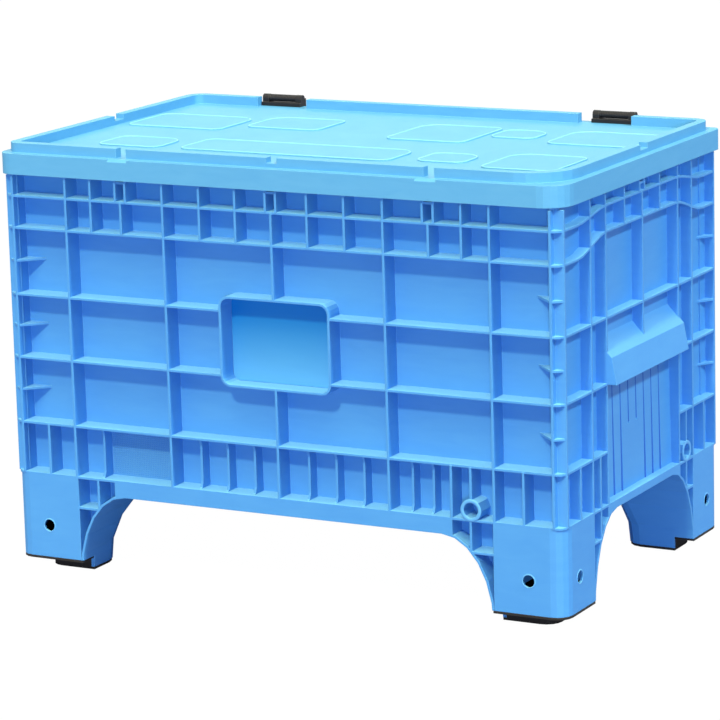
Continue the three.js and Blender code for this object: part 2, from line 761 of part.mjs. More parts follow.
// Foot shoe: a pad on the ground, a step under the leg's edge and an upstand inside the leg
function buildShoe(hand, turn) {
  const padX = halfX - sideRibDepth;
  const padZ = legInnerBottom - gap;
  const stepTop = legSkirtBottom - gap;
  const coreX = legX + cellJamb + gap;
  const coreY = legY + wall + gap;
  const coreCorner = legInnerCorner - 2;
  const step = prismZ(legPlan(hand, turn, padX, legY, 0), stepTop - rib, stepTop)
    .add(prismZ(legPlan(hand, turn, legX, wallY, 0), stepTop - rib, stepTop));
  const pieces = [
    prismZ(cornerPlan(hand, turn, legX, legY, padX, wallY, legCorner, legInnerCorner), 0, padZ),
    prismZ(cornerPlan(hand, turn, coreX, coreY, padX, wallY, legCorner, coreCorner), 0, stepTop),
    step,
    prismZ(legPlan(hand, turn, coreX, coreY, wall + gap, coreCorner), stepTop - rib, stepTop + rib),
  ];
  const upstandOuter = prismZ(legPlan(hand, turn, coreX, coreY, wall + gap, coreCorner),
    stepTop, legWebBottom - 12);
  const upstandInner = prismZ(legPlan(hand, turn, coreX + 6, coreY + 6, wall + gap + 6, coreCorner - 6),
    stepTop + rib, legWebBottom);
  return union(pieces).add(upstandOuter.subtract(upstandInner));
}

// Hinge clip on the lid: base in the wall gap, two ears with a bar, arms down to the pin
function buildClip(side) {
  const x0 = side * hingeX - hingeLength / 2;
  const x1 = x0 + hingeLength;
  const back = lidY + gap;
  const armBack = back + 5;
  const base = box(x0, x1, lidWallY - wall, armBack, lidTop + gap, lidTop + 7);
  const barZ = hingeTop - barRadius - 1;
  const barY = lidY - 6;
  const bar = prismX(circle(barY, barZ, barRadius), x0 + 1, x1 - 1, 5);
  const pieces = [base, bar];
  for (const start of [x0, x1 - hingeEar]) {
    const end = start + hingeEar;
    pieces.push(prismX(circle(barY, barZ, barRadius + 1), start, end, 5));
    pieces.push(box(start, end, barY - barRadius - 1, armBack, lidTop + gap, barZ));
    pieces.push(box(start, end, back, armBack, pinZ, barZ - 1));
    pieces.push(prismX(circle(pinY, pinZ, knuckleRadius), start, end, 5));
  }
  const clip = union(pieces);
  const bore = prismX(circle(pinY, pinZ, pinRadius + gap), x0 - 1, x1 + 1, 5);
  const lidRoom = box(x0 - 1, x1 + 1, lidY - 40, back, lidBottom - 5, lidTop + gap);
  return clip.subtract(bore).subtract(lidRoom);
}

// Hinge bracket on the box: a plate against the ribs and a middle knuckle
function buildBracket(side) {
  const x0 = side * hingeX - hingeLength / 2 + hingeEar + gap;
  const x1 = x0 + hingeLength - 2 * (hingeEar + gap);
  const face = halfY + gap;
  const plateTop = pinZ - 2;
  const arm = polygon([
    [face, flange1 - 14], [face + 4, flange1 - 14], [face + 4, pinZ - 22],
    [pinY + knuckleRadius, pinZ], [pinY - knuckleRadius, pinZ], [face, plateTop],
  ]);
  const bracket = prismX(arm, x0, x1).add(prismX(circle(pinY, pinZ, knuckleRadius), x0, x1, 5));
  return bracket.subtract(prismX(circle(pinY, pinZ, pinRadius + gap), x0 - 1, x1 + 1, 5));
}

function buildPin(side) {
  const x0 = side * hingeX - hingeLength / 2;
  const head = 2;
  return union([
    prismX(circle(pinY, pinZ, pinRadius), x0 - gap - head, x0 + hingeLength + gap + head, 5),
    prismX(circle(pinY, pinZ, pinRadius + 2), x0 - gap - head, x0 - gap, 5),
    prismX(circle(pinY, pinZ, pinRadius + 2), x0 + hingeLength + gap, x0 + hingeLength + gap + head, 5),
  ]);
}

// Colours of the two plastics
const bluePlastic = { color: 0x4c9be8, roughness: 0.45, metalness: 0 };
const lidPlastic = { color: 0x6cc4f2, roughness: 0.4, metalness: 0 };
const blackPlastic = { color: 0x1d1c1c, roughness: 0.6, metalness: 0 };
const steel = { color: 0x8c8f93, roughness: 0.35, metalness: 1 };

const palletBox = new THREE.Group();

function addPart(name, solid, look) {
  const data = solid.getMesh();
  const geometry = new THREE.BufferGeometry();
  const points = new Float32Array(data.vertProperties);
  geometry.setAttribute('position', new THREE.BufferAttribute(points, 3));
  geometry.setIndex(new THREE.BufferAttribute(new Uint32Array(data.triVerts), 1));
  const mesh = new THREE.Mesh(geometry, new THREE.MeshStandardMaterial(look));
  mesh.name = name;
  palletBox.add(mesh);
}

addPart('box_body', buildBody(), bluePlastic);
addPart('lid', buildLid(), lidPlastic);
const corners = [['front_left', -1, -1], ['front_right', 1, -1], ['rear_left', -1, 1], ['rear_right', 1, 1]];
for (const [name, hand, turn] of corners) {
  addPart(`foot_shoe_${name}`, buildShoe(hand, turn), blackPlastic);
}
for (const [name, side] of [['left', -1], ['right', 1]]) {
  addPart(`hinge_clip_${name}`, buildClip(side), blackPlastic);
  addPart(`hinge_bracket_${name}`, buildBracket(side), blackPlastic);
  addPart(`hinge_pin_${name}`, buildPin(side), steel);
}

// The origin is the middle of the ground area that the closed box takes up
palletBox.position.y = -(rearmost - lidY) / 2;

export default palletBox;
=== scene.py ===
# %% [markdown]
# This scene dresses a plastic pallet box with a hinged lid.
# The solids come ready made and at their real size in metres, so the work here is finish:
# moulded grain, painted highlights on the rib edges, a textured panel, lid beads, and a plain
# studio round it.

# %% Load the fixed frame
import math
import bpy
from mathutils import Matrix, Vector


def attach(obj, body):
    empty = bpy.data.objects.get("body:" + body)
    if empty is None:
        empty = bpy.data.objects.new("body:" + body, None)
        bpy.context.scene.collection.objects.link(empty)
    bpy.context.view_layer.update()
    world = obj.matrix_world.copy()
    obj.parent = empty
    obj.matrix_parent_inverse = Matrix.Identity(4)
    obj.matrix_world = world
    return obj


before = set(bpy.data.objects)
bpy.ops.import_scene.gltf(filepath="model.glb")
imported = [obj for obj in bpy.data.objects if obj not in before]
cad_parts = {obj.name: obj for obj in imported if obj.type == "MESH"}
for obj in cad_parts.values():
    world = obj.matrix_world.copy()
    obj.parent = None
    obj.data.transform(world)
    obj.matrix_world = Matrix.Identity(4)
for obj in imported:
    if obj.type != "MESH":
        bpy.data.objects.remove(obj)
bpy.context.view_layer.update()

# %% [markdown]
# The camera stands in front of the right-hand half of the box and looks a little down.
# Its place and turn were solved once from the straight rib grid, so they are plain numbers here.

# %% Camera
CAMERA_PLACE = Vector((2.7924, -5.1947, 1.6301))
CAMERA_AZIMUTH = math.radians(27.160)
CAMERA_DROP = math.radians(11.699)
CAMERA_ROLL = math.radians(-1.285)
CAMERA_LENS = 174.85
CAMERA_SENSOR = 36.0
CAMERA_SHIFT = (-0.1036, -0.0565)


def camera_turn(azimuth, drop, roll):
    level = math.cos(drop)
    forward = Vector((-math.sin(azimuth) * level, math.cos(azimuth) * level, -math.sin(drop)))
    level_right = Vector((math.cos(azimuth), math.sin(azimuth), 0.0))
    level_up = level_right.cross(forward)
    right = level_right * math.cos(roll) + level_up * math.sin(roll)
    up = level_up * math.cos(roll) - level_right * math.sin(roll)
    return Matrix((right, up, -forward)).transposed().to_4x4()


camera_data = bpy.data.cameras.new("studio_camera")
camera_data.lens = CAMERA_LENS
camera_data.sensor_width = CAMERA_SENSOR
camera_data.shift_x, camera_data.shift_y = CAMERA_SHIFT
camera = bpy.data.objects.new("studio_camera", camera_data)
camera_facing = camera_turn(CAMERA_AZIMUTH, CAMERA_DROP, CAMERA_ROLL)
camera.matrix_world = Matrix.Translation(CAMERA_PLACE) @ camera_facing
bpy.context.collection.objects.link(camera)
bpy.context.scene.camera = camera
print("camera lens", CAMERA_LENS, "mm")

# %% [markdown]
# Two lamps stand in front and to the right, each at forty-five degrees.
# Every flange then throws a shade as tall as the flange is deep, on both faces that show.
# A broad lamp high in front whitens what looks up, and a bluish one beside the camera
# lifts the shade. A weak lamp behind keeps the inside and the rear readable
# once the lid is open.
# Each row gives the way to the lamp, its power, its colour and the angle that it fills.

# %% Lamps
WARM = (1.0, 0.88, 0.52)
GREENISH = (0.86, 1.0, 0.84)
BLUISH = (0.60, 0.70, 0.90)
NARROW = math.radians(5.0)
BROAD = 0.5
LAMPS = (
    ("front_lamp", (0.05, -1.0, 1.0), 2.4, WARM, NARROW),
    ("right_lamp", (1.0, -0.05, 1.0), 2.5, GREENISH, NARROW),
    ("top_lamp", (0.1, -0.45, 1.0), 2.3, WARM, BROAD),
    ("view_lamp", (0.45, -0.88, 0.12), 1.4, BLUISH, NARROW),
    ("rear_lamp", (-0.6, 1.0, 0.8), 0.6, GREENISH, BROAD),
)

for name, direction, power, colour, softness in LAMPS:
    data = bpy.data.lights.new(name, "SUN")
    data.energy = power
    data.color = colour
    data.angle = softness
    lamp = bpy.data.objects.new(name, data)
    lamp.rotation_euler = (-Vector(direction)).to_track_quat("-Z", "Y").to_euler()
    bpy.context.collection.objects.link(lamp)
print("lamps", len(LAMPS))

# %% [markdown]
# The world fills the shade. It is white for the camera and for gloss,
# and weaker and bluish for diffuse light.
# A light path tells the kinds of ray apart, and the greatest of three answers picks white.

# %% World
FILL_COLOUR = (0.58, 0.64, 0.95, 1.0)
FILL = 0.28
WHITE = (1.0, 1.0, 1.0, 1.0)


def background(nodes, colour, strength):
    node = nodes.new("ShaderNodeBackground")
    node.inputs["Color"].default_value = colour
    node.inputs["Strength"].default_value = strength
    return node.outputs[0]


def studio_world():
    made = bpy.data.worlds.new("studio_world")
    made.use_nodes = True
    nodes, links = made.node_tree.nodes, made.node_tree.links
    nodes.clear()
    path = nodes.new("ShaderNodeLightPath")
    shows_white = path.outputs["Is Camera Ray"]
    for ray in ("Is Glossy Ray", "Is Transmission Ray"):
        greater = nodes.new("ShaderNodeMath")
        greater.operation = "MAXIMUM"
        links.new(shows_white, greater.inputs[0])
        links.new(path.outputs[ray], greater.inputs[1])
        shows_white = greater.outputs[0]
    mix = nodes.new("ShaderNodeMixShader")
    links.new(shows_white, mix.inputs[0])
    links.new(background(nodes, FILL_COLOUR, FILL), mix.inputs[1])
    links.new(background(nodes, WHITE, 1.0), mix.inputs[2])
    links.new(mix.outputs[0], nodes.new("ShaderNodeOutputWorld").inputs[0])
    return made


bpy.context.scene.world = studio_world()
bpy.context.scene.view_settings.view_transform = "Standard"
print("world fill", FILL)

# %% [markdown]
# A product picture stands on white with hardly any shade.
# The floor keeps a faint shadow: for the camera it is mostly white,
# for all other rays plain matt.

# %% Floor
FLOOR_REACH = 20.0
FLOOR_MATT = (0.26, 0.27, 0.42, 1)
FLOOR_WHITE_SHARE = 0.97
FLOOR_WHITE = 1.03


def floor_material():
    made = bpy.data.materials.new("studio_floor")
    made.use_nodes = True
    nodes, links = made.node_tree.nodes, made.node_tree.links
    nodes.clear()
    out = nodes.new("ShaderNodeOutputMaterial")
    matt = nodes.new("ShaderNodeBsdfDiffuse")
    matt.inputs["Color"].default_value = FLOOR_MATT
    white = nodes.new("ShaderNodeEmission")
    white.inputs["Strength"].default_value = FLOOR_WHITE
    path = nodes.new("ShaderNodeLightPath")
    share = nodes.new("ShaderNodeMath")
    share.operation = "MULTIPLY"
    share.inputs[1].default_value = FLOOR_WHITE_SHARE
    blend = nodes.new("ShaderNodeMixShader")
    links.new(path.outputs["Is Camera Ray"], share.inputs[0])
    links.new(share.outputs[0], blend.inputs[0])
    links.new(matt.outputs[0], blend.inputs[1])
    links.new(white.outputs[0], blend.inputs[2])
    links.new(blend.outputs[0], out.inputs[0])
    return made


floor_mesh = bpy.data.meshes.new("studio_floor")
floor_corners = [
    (-FLOOR_REACH, -FLOOR_REACH, 0), (FLOOR_REACH, -FLOOR_REACH, 0),
    (FLOOR_REACH, FLOOR_REACH, 0), (-FLOOR_REACH, FLOOR_REACH, 0),
]
floor_mesh.from_pydata(floor_corners, [], [(0, 1, 2, 3)])
studio_floor = bpy.data.objects.new("studio_floor", floor_mesh)
bpy.context.collection.objects.link(studio_floor)
studio_floor.data.materials.append(floor_material())
print("floor", 2 * FLOOR_REACH, "m wide")

# %% [markdown]
# Every plastic here came out of a steel mould with a fine sparked grain.
# One group makes that grain, a slow drift of tone and the streaks of the flowing melt,
# and each material sets its own scale.

# %% Shared group: moulded grain
STREAK_STRETCH = (3.0, 3.0, 14.0)


def add_socket(tree, name, way, kind, value=None):
    socket = tree.interface.new_socket(name=name, in_out=way, socket_type=kind)
    if value is not None:
        socket.default_value = value
    return socket


def moulded_grain_group():
    tree = bpy.data.node_groups.new("moulded_grain", "ShaderNodeTree")
    add_socket(tree, "Vector", "INPUT", "NodeSocketVector")
    add_socket(tree, "Grain Scale", "INPUT", "NodeSocketFloat", 900.0)
    add_socket(tree, "Drift Scale", "INPUT", "NodeSocketFloat", 6.0)
    for name in ("Grain", "Drift", "Flow"):
        add_socket(tree, name, "OUTPUT", "NodeSocketFloat")
    inside = tree.nodes
    start = inside.new("NodeGroupInput")
    end = inside.new("NodeGroupOutput")
    fine = inside.new("ShaderNodeTexNoise")
    fine.inputs["Detail"].default_value = 3.0
    fine.inputs["Roughness"].default_value = 0.65
    slow = inside.new("ShaderNodeTexNoise")
    slow.inputs["Detail"].default_value = 2.0
    flow = inside.new("ShaderNodeTexNoise")
    flow.inputs["Detail"].default_value = 4.0
    flow.inputs["Distortion"].default_value = 0.8
    stretch = inside.new("ShaderNodeMapping")
    stretch.inputs["Scale"].default_value = STREAK_STRETCH
    tree.links.new(start.outputs["Vector"], fine.inputs["Vector"])
    tree.links.new(start.outputs["Grain Scale"], fine.inputs["Scale"])
    tree.links.new(start.outputs["Vector"], slow.inputs["Vector"])
    tree.links.new(start.outputs["Drift Scale"], slow.inputs["Scale"])
    tree.links.new(start.outputs["Vector"], stretch.inputs["Vector"])
    tree.links.new(stretch.outputs[0], flow.inputs["Vector"])
    tree.links.new(fine.outputs["Fac"], end.inputs["Grain"])
    tree.links.new(slow.outputs["Fac"], end.inputs["Drift"])
    tree.links.new(flow.outputs["Fac"], end.inputs["Flow"])
    return tree


grain_group = moulded_grain_group()
print("group", grain_group.name, len(grain_group.nodes), "nodes")

# %% [markdown]
# A moulded edge is never sharp. A bevelled normal rounds it in the shading,
# and where that normal leaves the true one there is an edge, where a painted highlight lightens
# the colour.

# %% Shared group: rounded edges
BEVEL_SAMPLES = 6
EDGE_COSINE = 0.80


def rounded_edge_group():
    tree = bpy.data.node_groups.new("rounded_edge", "ShaderNodeTree")
    add_socket(tree, "Radius", "INPUT", "NodeSocketFloat", 0.0012)
    add_socket(tree, "Mask", "OUTPUT", "NodeSocketFloat")
    add_socket(tree, "Normal", "OUTPUT", "NodeSocketVector")
    inside = tree.nodes
    start = inside.new("NodeGroupInput")
    end = inside.new("NodeGroupOutput")
    bevel = inside.new("ShaderNodeBevel")
    bevel.samples = BEVEL_SAMPLES
    true_normal = inside.new("ShaderNodeNewGeometry")
    dot = inside.new("ShaderNodeVectorMath")
    dot.operation = "DOT_PRODUCT"
    spread = inside.new("ShaderNodeMapRange")
    spread.inputs["From Min"].default_value = 1.0
    spread.inputs["From Max"].default_value = EDGE_COSINE
    tree.links.new(start.outputs["Radius"], bevel.inputs["Radius"])
    tree.links.new(bevel.outputs[0], dot.inputs[0])
    tree.links.new(true_normal.outputs["Normal"], dot.inputs[1])
    tree.links.new(dot.outputs["Value"], spread.inputs["Value"])
    tree.links.new(spread.outputs[0], end.inputs["Mask"])
    tree.links.new(bevel.outputs[0], end.inputs["Normal"])
    return tree


edge_group = rounded_edge_group()
print("group", edge_group.name, len(edge_group.nodes), "nodes")

# %% [markdown]
# Colours are picked as a screen shows them and turned into linear light.
# Two small helpers do most of the shading: one mixes colours, one spreads a value to a range.
# Noise stays mostly between 0.3 and 0.7, so that is what is spread unless told otherwise.

# %% Helpers: colours and ranges
NOISE_LOW = 0.3
NOISE_HIGH = 0.7


def mix_colour(tree, a, b, factor):
    node = tree.nodes.new("ShaderNodeMix")
    node.data_type = "RGBA"
    for socket, value in ((node.inputs[6], a), (node.inputs[7], b)):
        if isinstance(value, tuple):
            socket.default_value = value
        else:
            tree.links.new(value, socket)
    tree.links.new(factor, node.inputs[0])
    return node.outputs[2]


def scaled(tree, value, low, high, source_low=NOISE_LOW, source_high=NOISE_HIGH):
    node = tree.nodes.new("ShaderNodeMapRange")
    node.inputs["From Min"].default_value = source_low
    node.inputs["From Max"].default_value = source_high
    node.inputs["To Min"].default_value = low
    node.inputs["To Max"].default_value = high
    tree.links.new(value, node.inputs["Value"])
    return node.outputs[0]


def srgb(red, green, blue):
    def line(value):
        share = value / 255.0
        return share / 12.92 if share <= 0.04045 else ((share + 0.055) / 1.055) ** 2.4
    return (line(red), line(green), line(blue), 1.0)


print("a middle grey is", round(srgb(128, 128, 128)[0], 3), "in linear light")

# %% [markdown]
# All the plastics are one kind of material with other values:
# a base colour, a lighter colour for streaks and painted highlights, a darker one for drift and
# painted crease shade, a roughness and a depth of grain.
# Where the body looks up, a painted top light turns it towards that lighter colour.
# A piece can ask for more through its own attribute, which runs from -1, painted shade in a
# crease, over 0, the plain plastic, to 1, a painted highlight with a smoother gloss.

# %% Material: moulded plastic
PLASTIC_GLOSS = 0.28
EDGE_RADIUS = 0.0014
DRIFT_SHARE = 0.16
STREAK_SHARE = 0.07
EDGE_HIGHLIGHT_SHARE = 0.55
PAINTED_CREASE_TONE = (0.7, 0.7, 0.85)
LOOKS_UP = (0.6, 0.95)
POLISH_ROUGHNESS = -0.2
GRAIN_ROUGHNESS = (-0.06, 0.08)
GRAIN_STRENGTH = 0.55


def plastic_colour(tree, place, grain, rounded, gloss_and_painted_light, base, edge, dark, painted_top_light_share):
    drift = scaled(tree, grain.outputs["Drift"], 0.0, DRIFT_SHARE)
    streak = scaled(tree, grain.outputs["Flow"], 0.0, STREAK_SHARE)
    # Painted highlight: rounded edges are lightened towards the lighter colour.
    edge_highlight = scaled(tree, rounded.outputs["Mask"], 0.0, EDGE_HIGHLIGHT_SHARE, 0.0, 1.0)
    # Painted highlight where a piece's attribute is above zero, painted crease shade where it is
    # below.
    smooth = scaled(tree, gloss_and_painted_light, 0.0, 1.0, 0.0, 1.0)
    painted_crease_shade = scaled(tree, gloss_and_painted_light, 0.0, 1.0, 0.0, -1.0)
    painted_crease_colour = tuple(share * part for share, part in zip(PAINTED_CREASE_TONE, dark)) + (1.0,)
    # Painted top light: faces that look up are lightened towards the lighter colour.
    facing = tree.nodes.new("ShaderNodeSeparateXYZ")
    tree.links.new(place.outputs["Normal"], facing.inputs[0])
    painted_top_light = scaled(tree, facing.outputs["Z"], 0.0, painted_top_light_share, *LOOKS_UP)
    colour = base
    for other, factor in (
            (dark, drift), (edge, streak), (edge, edge_highlight), (edge, smooth),
            (painted_crease_colour, painted_crease_shade), (edge, painted_top_light)):
        colour = mix_colour(tree, colour, other, factor)
    return colour


def plastic(name, base, edge, dark, roughness, grain_scale=900.0, bump=0.0004, painted_top_light_share=0.0):
    material = bpy.data.materials.new(name)
    material.use_nodes = True
    tree = material.node_tree
    shader = tree.nodes["Principled BSDF"]
    shader.inputs["Specular IOR Level"].default_value = PLASTIC_GLOSS
    place = tree.nodes.new("ShaderNodeTexCoord")
    grain = tree.nodes.new("ShaderNodeGroup")
    grain.node_tree = grain_group
    grain.inputs["Grain Scale"].default_value = grain_scale
    tree.links.new(place.outputs["Object"], grain.inputs["Vector"])
    rounded = tree.nodes.new("ShaderNodeGroup")
    rounded.node_tree = edge_group
    rounded.inputs["Radius"].default_value = EDGE_RADIUS
    # This attribute carries painted highlights and painted crease shade, and it also changes the
    # gloss.
    attribute = tree.nodes.new("ShaderNodeAttribute")
    attribute.attribute_name = "gloss_and_painted_light"
    gloss_and_painted_light = attribute.outputs["Fac"]
    colour = plastic_colour(tree, place, grain, rounded, gloss_and_painted_light, base, edge, dark, painted_top_light_share)
    tree.links.new(colour, shader.inputs["Base Color"])
    smoother = tree.nodes.new("ShaderNodeMath")
    smoother.operation = "MULTIPLY_ADD"
    smoother.inputs[1].default_value = POLISH_ROUGHNESS
    matt = scaled(tree, grain.outputs["Grain"], *(roughness + step for step in GRAIN_ROUGHNESS))
    tree.links.new(gloss_and_painted_light, smoother.inputs[0])
    tree.links.new(matt, smoother.inputs[2])
    tree.links.new(smoother.outputs[0], shader.inputs["Roughness"])
    relief = tree.nodes.new("ShaderNodeBump")
    relief.inputs["Strength"].default_value = GRAIN_STRENGTH
    relief.inputs["Distance"].default_value = bump
    tree.links.new(grain.outputs["Grain"], relief.inputs["Height"])
    tree.links.new(rounded.outputs["Normal"], relief.inputs["Normal"])
    tree.links.new(relief.outputs["Normal"], shader.inputs["Normal"])
    return material


body_blue = plastic(
    "body_blue", srgb(76, 149, 220), srgb(118, 194, 244), srgb(54, 122, 210), 0.46, painted_top_light_share=0.8)
lid_blue = plastic(
    "lid_blue", srgb(87, 160, 212), srgb(140, 215, 246), srgb(66, 146, 212), 0.56)
shoe_black = plastic(
    "shoe_black", srgb(33, 31, 31), srgb(70, 68, 68), srgb(22, 21, 21), 0.62, 700.0, 0.0006)
hinge_black = plastic(
    "hinge_black", srgb(29, 28, 32), srgb(78, 77, 84), srgb(18, 17, 20), 0.42, 1100.0, 0.0003)
print("plastics", body_blue.name, lid_blue.name, shoe_black.name, hinge_black.name)

# %% [markdown]
# The pins are bare bright steel, drawn through a die, so fine lines run along them.
# A noise that is stretched along the pin gives those lines.

# %% Material: drawn steel
DRAWN_STRETCH = (40.0, 1500.0, 1500.0)
STEEL_ROUGHNESS = (0.25, 0.45)


def drawn_steel():
    material = bpy.data.materials.new("pin_steel")
    material.use_nodes = True
    tree = material.node_tree
    shader = tree.nodes["Principled BSDF"]
    place = tree.nodes.new("ShaderNodeTexCoord")
    along = tree.nodes.new("ShaderNodeMapping")
    along.inputs["Scale"].default_value = DRAWN_STRETCH
    lines = tree.nodes.new("ShaderNodeTexNoise")
    lines.inputs["Scale"].default_value = 1.0
    tree.links.new(place.outputs["Object"], along.inputs["Vector"])
    tree.links.new(along.outputs[0], lines.inputs["Vector"])
    line_share = scaled(tree, lines.outputs["Fac"], 0.0, 1.0)
    shade = mix_colour(tree, srgb(176, 178, 182), srgb(120, 122, 126), line_share)
    tree.links.new(shade, shader.inputs["Base Color"])
    matt = scaled(tree, lines.outputs["Fac"], *STEEL_ROUGHNESS)
    tree.links.new(matt, shader.inputs["Roughness"])
    shader.inputs["Metallic"].default_value = 1.0
    return material


pin_steel = drawn_steel()
print("metal", pin_steel.name)

# %% [markdown]
# The ready-made solids get their finish by the start of their names.
# The pins come before the other hinge parts, because their names start alike.

# %% Dress the carried-over nodes
FINISHES = (
    ("box_body", body_blue), ("lid", lid_blue), ("foot_shoe", shoe_black),
    ("hinge_pin", pin_steel), ("hinge", hinge_black),
)

for node_name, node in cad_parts.items():
    finish = next(look for start, look in FINISHES if node_name.startswith(start))
    node.data.materials.clear()
    node.data.materials.append(finish)
print("dressed nodes", len(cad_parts))

# %% [markdown]
# Repeated detail is grown by Geometry Nodes and then turned into one plain mesh per piece.
# The helper evaluates the tree once, keeps its mesh and drops the modifier.
# Every tree ends alike: instances made real, the painted light and gloss value written down, the
# material set.

# %% Helper: grow a piece
def node_tree(name):
    tree = bpy.data.node_groups.new(name, "GeometryNodeTree")
    add_socket(tree, "Geometry", "INPUT", "NodeSocketGeometry")
    add_socket(tree, "Geometry", "OUTPUT", "NodeSocketGeometry")
    return tree


def tree_input(tree, name, kind, value):
    return add_socket(tree, name, "INPUT", kind, value).identifier


def grow(name, mesh, tree, values, body):
    seed = bpy.data.objects.new(name + "_seed", mesh)
    bpy.context.collection.objects.link(seed)
    modifier = seed.modifiers.new("grow", "NODES")
    modifier.node_group = tree
    for identifier, value in values.items():
        modifier[identifier] = value
    seed.update_tag()
    bpy.context.view_layer.update()
    grown = seed.evaluated_get(bpy.context.evaluated_depsgraph_get())
    plain = bpy.data.meshes.new_from_object(grown)
    seed.modifiers.clear()
    bpy.data.objects.remove(seed)
    piece = bpy.data.objects.new(name, plain)
    bpy.context.collection.objects.link(piece)
    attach(piece, body)
    print(name, len(plain.polygons), "faces")


def finish_tree(tree, geometry, material, smooth, gloss_and_painted_light=0.0):
    polished = tree.nodes.new("GeometryNodeStoreNamedAttribute")
    polished.data_type = "FLOAT"
    polished.inputs["Name"].default_value = "gloss_and_painted_light"
    polished.inputs["Value"].default_value = gloss_and_painted_light
    realize = tree.nodes.new("GeometryNodeRealizeInstances")
    shade = tree.nodes.new("GeometryNodeSetShadeSmooth")
    shade.inputs["Shade Smooth"].default_value = smooth
    painted = tree.nodes.new("GeometryNodeSetMaterial")
    painted.inputs["Material"].default_value = material
    end = tree.nodes.new("NodeGroupOutput")
    tree.links.new(geometry, realize.inputs[0])
    tree.links.new(realize.outputs[0], polished.inputs[0])
    tree.links.new(polished.outputs[0], shade.inputs[0])
    tree.links.new(shade.outputs[0], painted.inputs[0])
    tree.links.new(painted.outputs[0], end.inputs[0])


# %% [markdown]
# One cell of the lowest row on the front carries a fine woven texture.
# It is a grid of hair-fine raised lines: a row of upright bars and a column of level bars.
# Each bar is a thin box, and a line of points sets it out at an even pitch.

# %% Textured panel on the front
FRONT_WALL = -0.2936
WEAVE_MIDDLE = (-0.2758, FRONT_WALL, 0.21575)
WEAVE_COLUMNS = 38
WEAVE_ROWS = 23
WEAVE_PITCH = 0.0035
WEAVE_LINE = 0.0009
WEAVE_RELIEF = 0.0006


def product(tree, first, second):
    node = tree.nodes.new("ShaderNodeMath")
    node.operation = "MULTIPLY"
    for socket, value in zip(node.inputs, (first, second)):
        if isinstance(value, float):
            socket.default_value = value
        else:
            tree.links.new(value, socket)
    return node.outputs[0]


def woven_tree(material):
    tree = node_tree("woven_panel")
    ids = {
        "Columns": tree_input(tree, "Columns", "NodeSocketInt", WEAVE_COLUMNS),
        "Rows": tree_input(tree, "Rows", "NodeSocketInt", WEAVE_ROWS),
        "Pitch": tree_input(tree, "Pitch", "NodeSocketFloat", WEAVE_PITCH),
        "Line": tree_input(tree, "Line", "NodeSocketFloat", WEAVE_LINE),
        "Relief": tree_input(tree, "Relief", "NodeSocketFloat", WEAVE_RELIEF),
    }
    start = tree.nodes.new("NodeGroupInput")
    join = tree.nodes.new("GeometryNodeJoinGeometry")
    pitch = start.outputs["Pitch"]
    for along, count, span in ((0, "Columns", "Rows"), (2, "Rows", "Columns")):
        size = tree.nodes.new("ShaderNodeCombineXYZ")
        tree.links.new(start.outputs["Line"], size.inputs[along])
        tree.links.new(start.outputs["Relief"], size.inputs[1])
        tree.links.new(product(tree, start.outputs[span], pitch), size.inputs[2 - along])
        bar = tree.nodes.new("GeometryNodeMeshCube")
        tree.links.new(size.outputs[0], bar.inputs["Size"])
        step = tree.nodes.new("ShaderNodeCombineXYZ")
        tree.links.new(pitch, step.inputs[along])
        first = tree.nodes.new("ShaderNodeCombineXYZ")
        back = product(tree, product(tree, start.outputs[count], pitch), -0.5)
        tree.links.new(back, first.inputs[along])
        row = tree.nodes.new("GeometryNodeMeshLine")
        tree.links.new(start.outputs[count], row.inputs["Count"])
        tree.links.new(step.outputs[0], row.inputs["Offset"])
        tree.links.new(first.outputs[0], row.inputs["Start Location"])
        placed = tree.nodes.new("GeometryNodeInstanceOnPoints")
        tree.links.new(row.outputs[0], placed.inputs["Points"])
        tree.links.new(bar.outputs["Mesh"], placed.inputs["Instance"])
        tree.links.new(placed.outputs[0], join.inputs[0])
    move = tree.nodes.new("GeometryNodeTransform")
    move.inputs["Translation"].default_value = WEAVE_MIDDLE
    tree.links.new(join.outputs[0], move.inputs[0])
    finish_tree(tree, move.outputs[0], material, False)
    return tree, ids


panel_tree, panel_ids = woven_tree(body_blue)
grow("woven_panel", bpy.data.meshes.new("woven_panel_seed"), panel_tree, {
    panel_ids["Columns"]: WEAVE_COLUMNS,
    panel_ids["Rows"]: WEAVE_ROWS,
    panel_ids["Pitch"]: WEAVE_PITCH,
    panel_ids["Line"]: WEAVE_LINE,
    panel_ids["Relief"]: WEAVE_RELIEF,
}, "box")

# %% [markdown]
# The next pieces follow outlines: a rounded rectangle as a list of points,
# and a tree that turns the edges of a mesh into curves and sweeps a round bead along them.

# %% Helpers: outlines and beads
def rounded_outline(left, right, front, rear, radii, steps=5):
    corners = (
        (left, front, 1, 1, 180), (right, front, -1, 1, 270),
        (right, rear, -1, -1, 0), (left, rear, 1, -1, 90),
    )
    points = []
    for (x, y, in_x, in_y, first), radius in zip(corners, radii):
        centre_x = x + in_x * radius
        centre_y = y + in_y * radius
        for step in range(steps + 1):
            angle = math.radians(first + 90.0 * step / steps)
            points.append(
                (centre_x + radius * math.cos(angle), centre_y + radius * math.sin(angle)))
    return points


def outline_mesh(name, outlines, height):
    points = []
    edges = []
    for outline in outlines:
        first = len(points)
        count = len(outline)
        points.extend((x, y, height) for x, y in outline)
        edges.extend((first + i, first + (i + 1) % count) for i in range(count))
    mesh = bpy.data.meshes.new(name)
    mesh.from_pydata(points, edges, [])
    return mesh


